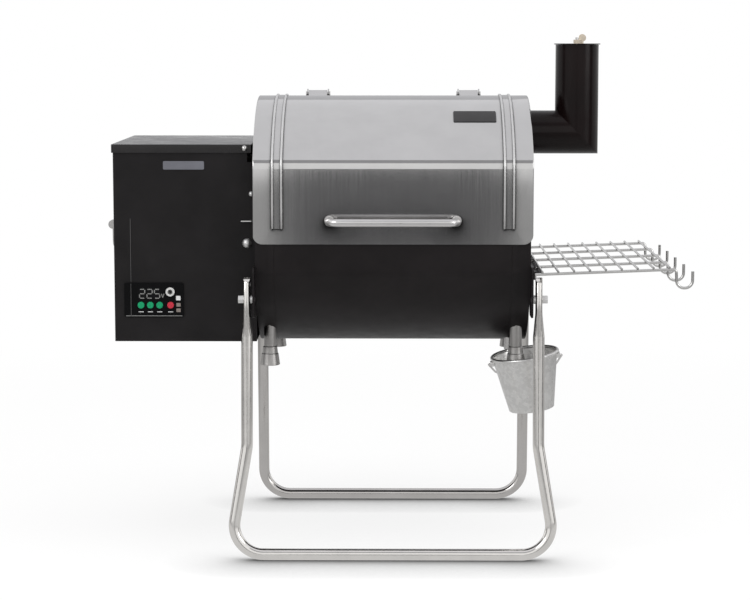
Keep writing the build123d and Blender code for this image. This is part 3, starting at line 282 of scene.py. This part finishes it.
# bright metals; what a metal does not say comes from metalCommon
metalCommon = {"driftScale": 22.0, "driftDetail": 4.0, "streakDetail": 3.0, "spread": 0.06,
               "bumpDepth": 0.0003}
metalSettings = {
    "brightSteel": {"color": (0.62, 0.61, 0.60), "drift": 0.10, "rough": 0.26,
                    "streak": (900.0, 900.0, 60.0), "bump": 0.05},
    # the hood's shade values paint shade into its colour below the handle
    "hoodSteel": {"color": (0.600, 0.595, 0.590), "drift": 0.03, "rough": 0.09,
                  "streak": (900.0, 9.0, 9.0), "bump": 0.004, "spread": 0.015, "shadeReach": 0.055,
                  "shadeFull": 0.66, "shadeNone": 0.90, "shadeDepth": 0.12, "shadeLean": 0.60,
                  "shadeSamples": 16},
    "handleSteel": {"color": (0.66, 0.65, 0.645), "drift": 0.04, "rough": 0.30,
                    "streak": (40.0, 700.0, 700.0), "bump": 0.012, "spread": 0.03},
    "chromeWire": {"color": (0.58, 0.575, 0.565), "drift": 0.05, "rough": 0.20,
                   "streak": (500.0, 500.0, 500.0), "bump": 0.02},
    "legSilver": {"color": (0.76, 0.74, 0.715), "drift": 0.05, "rough": 0.13,
                  "streak": (700.0, 700.0, 90.0), "bump": 0.012, "spread": 0.03},
    # painted shade: a darker copy of legSilver for the rear leg frame, which is the same steel as the
    # front one
    "rearSilverShaded": {"color": (0.53, 0.515, 0.50), "drift": 0.05, "rough": 0.13,
                   "streak": (700.0, 700.0, 90.0), "bump": 0.012, "spread": 0.03},
    "satinSteel": {"color": (0.72, 0.715, 0.71), "drift": 0.04, "rough": 0.46,
                   "streak": (400.0, 9.0, 9.0), "bump": 0.006, "spread": 0.03},
    "footSteel": {"color": (0.40, 0.39, 0.38), "drift": 0.20, "rough": 0.36,
                  "streak": (300.0, 300.0, 900.0), "bump": 0.06},
    "innerSteel": {"color": (0.40, 0.39, 0.38), "drift": 0.22, "rough": 0.42,
                   "streak": (60.0, 700.0, 700.0), "bump": 0.08},
    "bucketZinc": {"color": (0.66, 0.655, 0.645), "drift": 0.055, "rough": 0.32,
                   "streak": (260.0, 260.0, 260.0), "bump": 0.05, "spangle": 190.0},
}
finishes = {}
noiseLow = 0.3  # a noise's pattern lies between these two values
noiseHigh = 0.7
noiseRoughness = 0.55


def newFinish(name):
    material = bpy.data.materials.new(name)
    material.use_nodes = True
    tree = material.node_tree
    finishes[name] = material
    return tree, tree.nodes["Principled BSDF"], addNode(tree, "TexCoord").outputs["Object"]


def addNoise(tree, vector, scale, detail):
    noise = addNode(tree, "TexNoise", {"Scale": scale, "Detail": detail, "Roughness": noiseRoughness})
    joinNodes(tree, (vector, noise.inputs["Vector"]))
    return noise.outputs["Fac"]


def addSpangle(tree, vector, scale):
    # crystals of zinc: one grey to a cell
    cells = addNode(tree, "TexVoronoi", {"Scale": scale})
    parts = addNode(tree, "SeparateColor")
    joinNodes(tree, (vector, cells.inputs["Vector"]), (cells.outputs["Color"], parts.inputs[0]))
    return parts.outputs[0]


def addRange(tree, value, low, high):
    # the noise's span carried to low and high
    span = addNode(tree, "MapRange", {"From Min": noiseLow, "From Max": noiseHigh,
                                      "To Min": low, "To Max": high})
    joinNodes(tree, (value, span.inputs["Value"]))
    return span.outputs[0]


def addTint(tree, value, color, drift):
    # two ends of one colour, darker and lighter by the drift
    ramp = addNode(tree, "ValToRGB")
    ends = ramp.color_ramp.elements
    ends[0].position, ends[1].position = noiseLow, noiseHigh
    ends[0].color = tuple(c * (1 - drift) for c in color) + (1.0,)
    ends[1].color = tuple(min(1.0, c * (1 + drift)) for c in color) + (1.0,)
    joinNodes(tree, (value, ramp.inputs["Fac"]))
    return ramp.outputs["Color"]


def addNearShade(tree, color, s):
    # painted shade: the colour times how open the surface is, looked at from its normal leant upwards:
    # darker below a bar that stands close in front
    surface = addNode(tree, "NewGeometry")
    lean = addNode(tree, "VectorMath", {1: (0.0, 0.0, s["shadeLean"])}, "ADD")
    unit = addNode(tree, "VectorMath", operation="NORMALIZE")
    near = addNode(tree, "AmbientOcclusion", {"Distance": s["shadeReach"]})
    near.samples = s["shadeSamples"]
    depth = addNode(tree, "MapRange", {"From Min": s["shadeFull"], "From Max": s["shadeNone"],
                                       "To Min": s["shadeDepth"]})
    scale = addNode(tree, "VectorMath", operation="SCALE")
    joinNodes(tree,
              (surface.outputs["Normal"], lean.inputs[0]),
              (lean.outputs[0], unit.inputs[0]),
              (unit.outputs[0], near.inputs["Normal"]),
              (near.outputs["AO"], depth.inputs["Value"]),
              (color, scale.inputs[0]),
              (depth.outputs[0], scale.inputs["Scale"]))
    return scale.outputs[0]


def addBump(tree, shader, height, strength, distance):
    bump = addNode(tree, "Bump", {"Strength": strength, "Distance": distance})
    joinNodes(tree, (height, bump.inputs["Height"]), (bump.outputs["Normal"], shader.inputs["Normal"]))


def makePaint(name, s):
    # slow colour drift, uneven gloss, fine orange peel
    tree, shader, where = newFinish(name)
    slow = addNoise(tree, where, s["driftScale"], s["driftDetail"])
    haze = addNoise(tree, where, s["hazeScale"], s["hazeDetail"])
    gloss = addRange(tree, haze, s["rough"] - s["hazeDown"], s["rough"] + s["hazeUp"])
    joinNodes(tree,
              (addTint(tree, slow, s["color"], s["drift"]), shader.inputs["Base Color"]),
              (gloss, shader.inputs["Roughness"]))
    shader.inputs["Specular IOR Level"].default_value = s["specular"]
    shader.inputs["Coat Weight"].default_value = s["coat"]
    shader.inputs["Coat Roughness"].default_value = s["coatRough"]
    if s["bump"]:
        grain = addNoise(tree, where, s["grain"], s["grainDetail"])
        addBump(tree, shader, grain, s["bump"], s["bumpDepth"])


def makeMetal(name, s):
    # long fine streaks in gloss and height over a slow drift, or over crystals
    tree, shader, where = newFinish(name)
    if "spangle" in s:
        slow = addSpangle(tree, where, s["spangle"])
    else:
        slow = addNoise(tree, where, s["driftScale"], s["driftDetail"])
    tint = addTint(tree, slow, s["color"], s["drift"])
    if "shadeReach" in s:
        tint = addNearShade(tree, tint, s)
    stretch = addNode(tree, "Mapping", {"Scale": s["streak"]})
    streaks = addNoise(tree, stretch.outputs["Vector"], 1.0, s["streakDetail"])
    gloss = addRange(tree, streaks, s["rough"] - s["spread"], s["rough"] + s["spread"])
    joinNodes(tree,
              (where, stretch.inputs["Vector"]),
              (tint, shader.inputs["Base Color"]),
              (gloss, shader.inputs["Roughness"]))
    shader.inputs["Metallic"].default_value = 1.0
    addBump(tree, shader, streaks, s["bump"], s["bumpDepth"])


for finishName, finishValues in paintSettings.items():
    makePaint(finishName, {**paintCommon, **finishValues})
for finishName, finishValues in metalSettings.items():
    makeMetal(finishName, {**metalCommon, **finishValues})
print("finishes ready:", len(finishes))

# which finish each piece of the frame wears
nodeFinishes = {
    "tubBlack": ["barrel_tub", "rear_panel", "end_panel_left", "end_panel_right", "leg_brackets",
                 "shelf_rail", "bucket_hanger"],
    "hoodSteel": ["hood_shell", "hinge_leaves", "hinge_ears"],
    "footSteel": ["feet"],
    "hopperBlack": ["hopper_shell", "hopper_floor"],
    "lidBlack": ["hopper_lid"],
    "chimneyBlack": ["chimney_stack", "chimney_arm", "chimney_flange", "chimney_cap"],
    "panelBlack": ["control_panel"],
    "plateGrey": ["hood_plate"],
    "displayBlack": ["display_window"],
    "boardGreen": ["button_board"],
    "plasticBlack": ["fan_housing", "fan_wheel"],
    "jackPale": ["probe_jack"],
    "plasticBeige": ["thumb_nut"],
    "buttonGreen": ["button_up", "button_set", "button_down"],
    "buttonRed": ["button_power"],
    "grateEnamel": ["cooking_grate"],
    "handleSteel": ["hood_handle"],
    "brightSteel": ["drain_spout", "hinge_pins", "cap_stem", "hopper_lid_pins", "side_handle_plate",
                    "side_handle", "bail"],
    "satinSteel": ["pivot_bolts", "body_screws", "hopper_thumb_nut", "hopper_tab"],
    "chromeWire": ["shelf_grid", "shelf_pins", "shelf_hooks"],
    "legSilver": ["front_leg_frame"],
    # the rear leg frame wears the darker painted-shade copy of the leg steel
    "rearSilverShaded": ["rear_leg_frame"],
    "innerSteel": ["heat_shield", "grease_tray", "fire_pot", "grate_ledges", "pellet_bin", "bin_guard",
                   "auger_tube", "auger_motor", "auger_screw"],
    "bucketZinc": ["bucket"],
}


dressSettings = {"weld": 0.000002, "crease": 28.0}  # metres and degrees


def dressNode(node, finish, s):
    # smooth over the curves, with a crease wherever two faces meet more sharply
    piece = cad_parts[node]
    mesh = piece.data
    mesh.materials.clear()
    mesh.materials.append(finishes[finish])
    mesh.polygons.foreach_set("material_index", np.zeros(len(mesh.polygons), dtype=np.int32))
    mesh.polygons.foreach_set("use_smooth", np.ones(len(mesh.polygons), dtype=bool))
    piece.modifiers.new("join", "WELD").merge_threshold = s["weld"]
    piece.modifiers.new("crease", "EDGE_SPLIT").split_angle = math.radians(s["crease"])


for finishName, nodeList in nodeFinishes.items():
    for nodeName in nodeList:
        dressNode(nodeName, finishName, dressSettings)
print("nodes dressed")


def addPiece(name, points, faces, finish, body, smooth=False):
    mesh = bpy.data.meshes.new(name)
    mesh.from_pydata(points.tolist(), [], faces)
    mesh.validate()
    mesh.polygons.foreach_set("use_smooth", np.full(len(mesh.polygons), smooth))
    mesh.materials.append(finishes[finish])
    piece = bpy.data.objects.new(name, mesh)
    bpy.context.scene.collection.objects.link(piece)
    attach(piece, body)


def ringFaces(rows, columns):
    # quads between neighbouring closed rings, then the first and last rings as caps
    r, c = np.meshgrid(np.arange(rows - 1), np.arange(columns), indexing="ij")
    n = (c + 1) % columns
    corners = [(r, c), (r, n), (r + 1, n), (r + 1, c)]
    quads = np.stack([row * columns + column for row, column in corners], axis=-1)
    faces = quads.reshape(-1, 4).tolist()
    faces.append(list(range(columns))[::-1])
    faces.append(list(range((rows - 1) * columns, rows * columns)))
    return faces


def plateOutline(width, height, corner, steps=3):
    # rounded rectangle: a quarter circle of points about each corner's centre
    t = np.linspace(0, math.pi / 2, steps)
    turn = (t[None, :] + np.arange(4)[:, None] * math.pi / 2).ravel()
    x = np.repeat([1, -1, -1, 1], steps) * (width / 2 - corner)
    z = np.repeat([1, 1, -1, -1], steps) * (height / 2 - corner)
    return np.stack([x + corner * np.cos(turn), z + corner * np.sin(turn)], axis=1)


def frontPlate(outline, center, back, thickness, bevel):
    # the outline carried from back to front along -Y, drawn in by the bevel over the last step
    middle = outline.mean(axis=0)
    reach = np.abs(outline - middle).max()
    shrink = [1.0, 1.0, 1.0 - bevel / reach]
    depth = [0.0, thickness - bevel, thickness]
    rings = [np.stack([center[0] + middle[0] + (outline[:, 0] - middle[0]) * k,
                       np.full(len(outline), back - d),
                       center[1] + middle[1] + (outline[:, 1] - middle[1]) * k], axis=1)
             for k, d in zip(shrink, depth)]
    return np.concatenate(rings), ringFaces(3, len(outline))


# places on the control panel, all from the frame
panelLow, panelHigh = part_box("control_panel")
windowLow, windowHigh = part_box("display_window")
windowCenter = ((windowLow.x + windowHigh.x) / 2, (windowLow.z + windowHigh.z) / 2)
markSettings = {"thickness": 0.0004, "bevel": 0.00012}


def addMark(name, outline, center, finish, back=panelLow.y):
    points, faces = frontPlate(outline, center, back, markSettings["thickness"], markSettings["bevel"])
    addPiece(name, points, faces, finish, "grill")


digitSettings = {"shown": "225", "width": 0.0082, "height": 0.0138, "pitch": 0.0116, "stroke": 0.0016,
                 "cornerShare": 0.3}


def addDigits(s):
    # seven bars to a digit, each a short plate standing off the window by a hair
    lit = {"2": "abged", "5": "afgcd"}
    w, h, t = s["width"], s["height"], s["stroke"]
    bars = {"a": (0, h / 2, w - t, t), "g": (0, 0, w - t, t), "d": (0, -h / 2, w - t, t),
            "f": (-w / 2, h / 4, t, h / 2 - t), "b": (w / 2, h / 4, t, h / 2 - t),
            "e": (-w / 2, -h / 4, t, h / 2 - t), "c": (w / 2, -h / 4, t, h / 2 - t)}
    for place, digit in enumerate(s["shown"]):
        for bar in lit[digit]:
            aside, above, barWidth, barHeight = bars[bar]
            center = (windowCenter[0] + (place - 1) * s["pitch"] + aside, windowCenter[1] + above)
            addMark(f"digit{place}{bar}", plateOutline(barWidth, barHeight, t * s["cornerShare"]), center,
                    "segmentGrey", windowLow.y)


stripSettings = {"below": 0.0105, "width": 0.0080, "height": 0.0011, "corner": 0.0004}


def addStrip(button, s):
    # a bare strip below a button
    low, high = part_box(button)
    center = ((low.x + high.x) / 2, (low.z + high.z) / 2 - s["below"])
    addMark("strip_" + button, plateOutline(s["width"], s["height"], s["corner"]), center, "markPale")


squareSettings = {
    "panelSquareTop": {"width": 0.0070, "height": 0.0070, "fromRight": 0.0085, "fromTop": 0.0240,
                       "finish": "markPale"},
    "panelSquareMiddle": {"width": 0.0066, "height": 0.0056, "fromRight": 0.0083, "fromTop": 0.0345,
                          "finish": "markBrown"},
    "panelSquareLow": {"width": 0.0066, "height": 0.0056, "fromRight": 0.0083, "fromTop": 0.0430,
                       "finish": "markBrown"},
}
squareCorner = {"radius": 0.0008, "steps": 6}


def addSquare(name, s):
    outline = plateOutline(s["width"], s["height"], squareCorner["radius"], squareCorner["steps"])
    addMark(name, outline, (panelHigh.x - s["fromRight"], panelHigh.z - s["fromTop"]), s["finish"])


# painted highlight: a pale line along the panel's lower edge
panelEdgeHighlightSettings = {"width": 0.0880, "height": 0.0010, "corner": 0.0004, "fromBottom": 0.0022}


def addPanelEdgeHighlight(s):
    center = ((panelLow.x + panelHigh.x) / 2, panelLow.z + s["fromBottom"])
    addMark("panelEdgeHighlight", plateOutline(s["width"], s["height"], s["corner"]), center, "segmentGrey")


arrowSettings = {"halfWidth": 0.0026, "halfHeight": 0.0030, "stroke": 0.0014, "pastWindow": 0.0035,
                 "drop": 0.0030}


def addArrow(s):
    # a small mark pointing down: two strokes that meet, as one outline
    w, h, t = s["halfWidth"], s["halfHeight"], s["stroke"]
    outline = np.array([(w, h), (w - t, h), (0, t - h), (t - w, h), (-w, h), (-t / 2, -h), (t / 2, -h)])
    center = (windowHigh.x + s["pastWindow"], windowCenter[1] - s["drop"])
    addMark("panelArrow", outline, center, "segmentGrey")


# painted highlight line, standing in for a thin rod's lit edge
# across and top are shares of the panel's width and height, measured from its lower left corner
glintLineSettings = {"across": 0.114, "top": 2.84, "width": 0.0009, "panelShare": 0.94}


def addGlintLine(s):
    # painted highlight: a fine pale line down the hopper's front and over the panel's left end, where a
    # thin upright rod's lit edge would be
    x = panelLow.x + s["across"] * (panelHigh.x - panelLow.x)
    top = panelLow.z + s["top"] * (panelHigh.z - panelLow.z)
    upper = plateOutline(s["width"], top - panelHigh.z, s["width"] / 3)
    addMark("glintLineAbove", upper, (x, (top + panelHigh.z) / 2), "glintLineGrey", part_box("hopper_shell")[0].y)
    lower = plateOutline(s["width"], (panelHigh.z - panelLow.z) * s["panelShare"], s["width"] / 3)
    addMark("glintLinePanel", lower, (x, (panelHigh.z + panelLow.z) / 2), "glintLineGrey")


jackSettings = {"inner": 0.0021, "outer": 0.0036, "depth": 0.0003, "around": 40}


def addJackHoleShade(s):
    # painted shade: a black flat ring round the jack's hole that stands in for the dark of its bore,
    # facing -Y: four circles, outer back, outer front, inner front, inner back
    low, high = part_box("probe_jack")
    t = np.linspace(0, 2 * math.pi, s["around"], endpoint=False)
    radii = np.array([s["outer"], s["outer"], s["inner"], s["inner"]])
    levels = low.y - np.array([0.0, s["depth"], s["depth"], 0.0])
    x = (low.x + high.x) / 2 + radii[:, None] * np.cos(t)
    z = (low.z + high.z) / 2 + radii[:, None] * np.sin(t)
    y = np.repeat(levels[:, None], s["around"], axis=1)
    points = np.stack([x, y, z], axis=-1).reshape(-1, 3)
    r0, c0 = np.meshgrid(np.arange(4), np.arange(s["around"]), indexing="ij")
    r1, c1 = (r0 + 1) % 4, (c0 + 1) % s["around"]
    corners = [(r0, c0), (r0, c1), (r1, c1), (r1, c0)]
    quads = np.stack([r * s["around"] + c for r, c in corners], axis=-1)
    addPiece("jackHoleShade", points, quads.reshape(-1, 4).tolist(), "plasticBlack", "grill")


addDigits(digitSettings)
for buttonName in ("button_up", "button_set", "button_down", "button_power"):
    addStrip(buttonName, stripSettings)
for squareName, squareValues in squareSettings.items():
    addSquare(squareName, squareValues)
addPanelEdgeHighlight(panelEdgeHighlightSettings)
addArrow(arrowSettings)
addGlintLine(glintLineSettings)
addJackHoleShade(jackSettings)
print("panel marked")

labelSettings = {"left": 0.0778, "width": 0.0635, "fromTop": 0.0240, "height": 0.0130, "thickness": 0.0008,
                 "corner": 0.0020, "cornerSteps": 6, "bevel": 0.0003}


def addHopperPlate(s):
    # a bare plate on the hopper's front
    low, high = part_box("hopper_shell")
    center = (low.x + s["left"] + s["width"] / 2, high.z - s["fromTop"] - s["height"] / 2)
    outline = plateOutline(s["width"], s["height"], s["corner"], s["cornerSteps"])
    points, faces = frontPlate(outline, center, low.y, s["thickness"], s["bevel"])
    addPiece("hopperPlate", points, faces, "labelGrey", "grill")


addHopperPlate(labelSettings)
print("hopper plate added")

# the hood's two raised bands: offset is from the hood's middle to a band's, half is half a band's width
bandSettings = {"offset": 0.178, "half": 0.0070, "radius": 0.0019, "around": 10,
                "sliceHalf": 0.0003, "wall": 0.0026, "slack": 0.00005, "decimals": 5}


def bandPath(x, s):
    # the hood's own points in a thin slice at x: of those closer together than the wall, the outermost,
    # in the order of their angle about the slice's middle
    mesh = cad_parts["hood_shell"].data
    spots = np.empty(len(mesh.vertices) * 3, dtype=np.float32)
    mesh.vertices.foreach_get("co", spots)
    spots = spots.reshape(-1, 3).astype(float)
    spots = spots[np.abs(spots[:, 0] - x) < s["sliceHalf"]][:, 1:]
    middle = (spots.min(axis=0) + spots.max(axis=0)) / 2
    away = np.linalg.norm(spots - middle, axis=1)
    gaps = np.linalg.norm(spots[:, None, :] - spots[None, :, :], axis=2)
    outermost = np.where(gaps < s["wall"], away[None, :], 0.0).max(axis=1)
    kept = np.unique(np.round(spots[away >= outermost - s["slack"]], s["decimals"]), axis=0)
    return kept[np.argsort(np.arctan2(kept[:, 0] - middle[0], kept[:, 1] - middle[1]))]


def tubeAlong(path, radius, around):
    # circles square to a path of points that lies in a plane of one x, joined to a tube
    along = np.gradient(path, axis=0)
    along /= np.linalg.norm(along, axis=1)[:, None]
    side = np.tile(np.array([1.0, 0.0, 0.0]), (len(path), 1))
    up = np.cross(along, side)
    t = np.linspace(0, 2 * math.pi, around, endpoint=False)
    rings = path[:, None, :] + radius * (np.cos(t)[None, :, None] * side[:, None, :]
                                         + np.sin(t)[None, :, None] * up[:, None, :])
    return rings.reshape(-1, 3), ringFaces(len(path), around)


def addBandEdges(s):
    # a rolled edge on either side of each band
    low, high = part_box("hood_shell")
    middle = (low.x + high.x) / 2
    signs = {-1: "m1", 1: "1"}
    for side in signs:
        for edge in signs:
            x = middle + side * s["offset"] + edge * s["half"]
            profile = bandPath(x, s)
            path = np.column_stack([np.full(len(profile), x), profile])
            points, faces = tubeAlong(path, s["radius"], s["around"])
            addPiece("bandEdge" + signs[side] + signs[edge], points, faces, "satinSteel", "hood",
                     smooth=True)


addBandEdges(bandSettings)
print("hood bands edged")
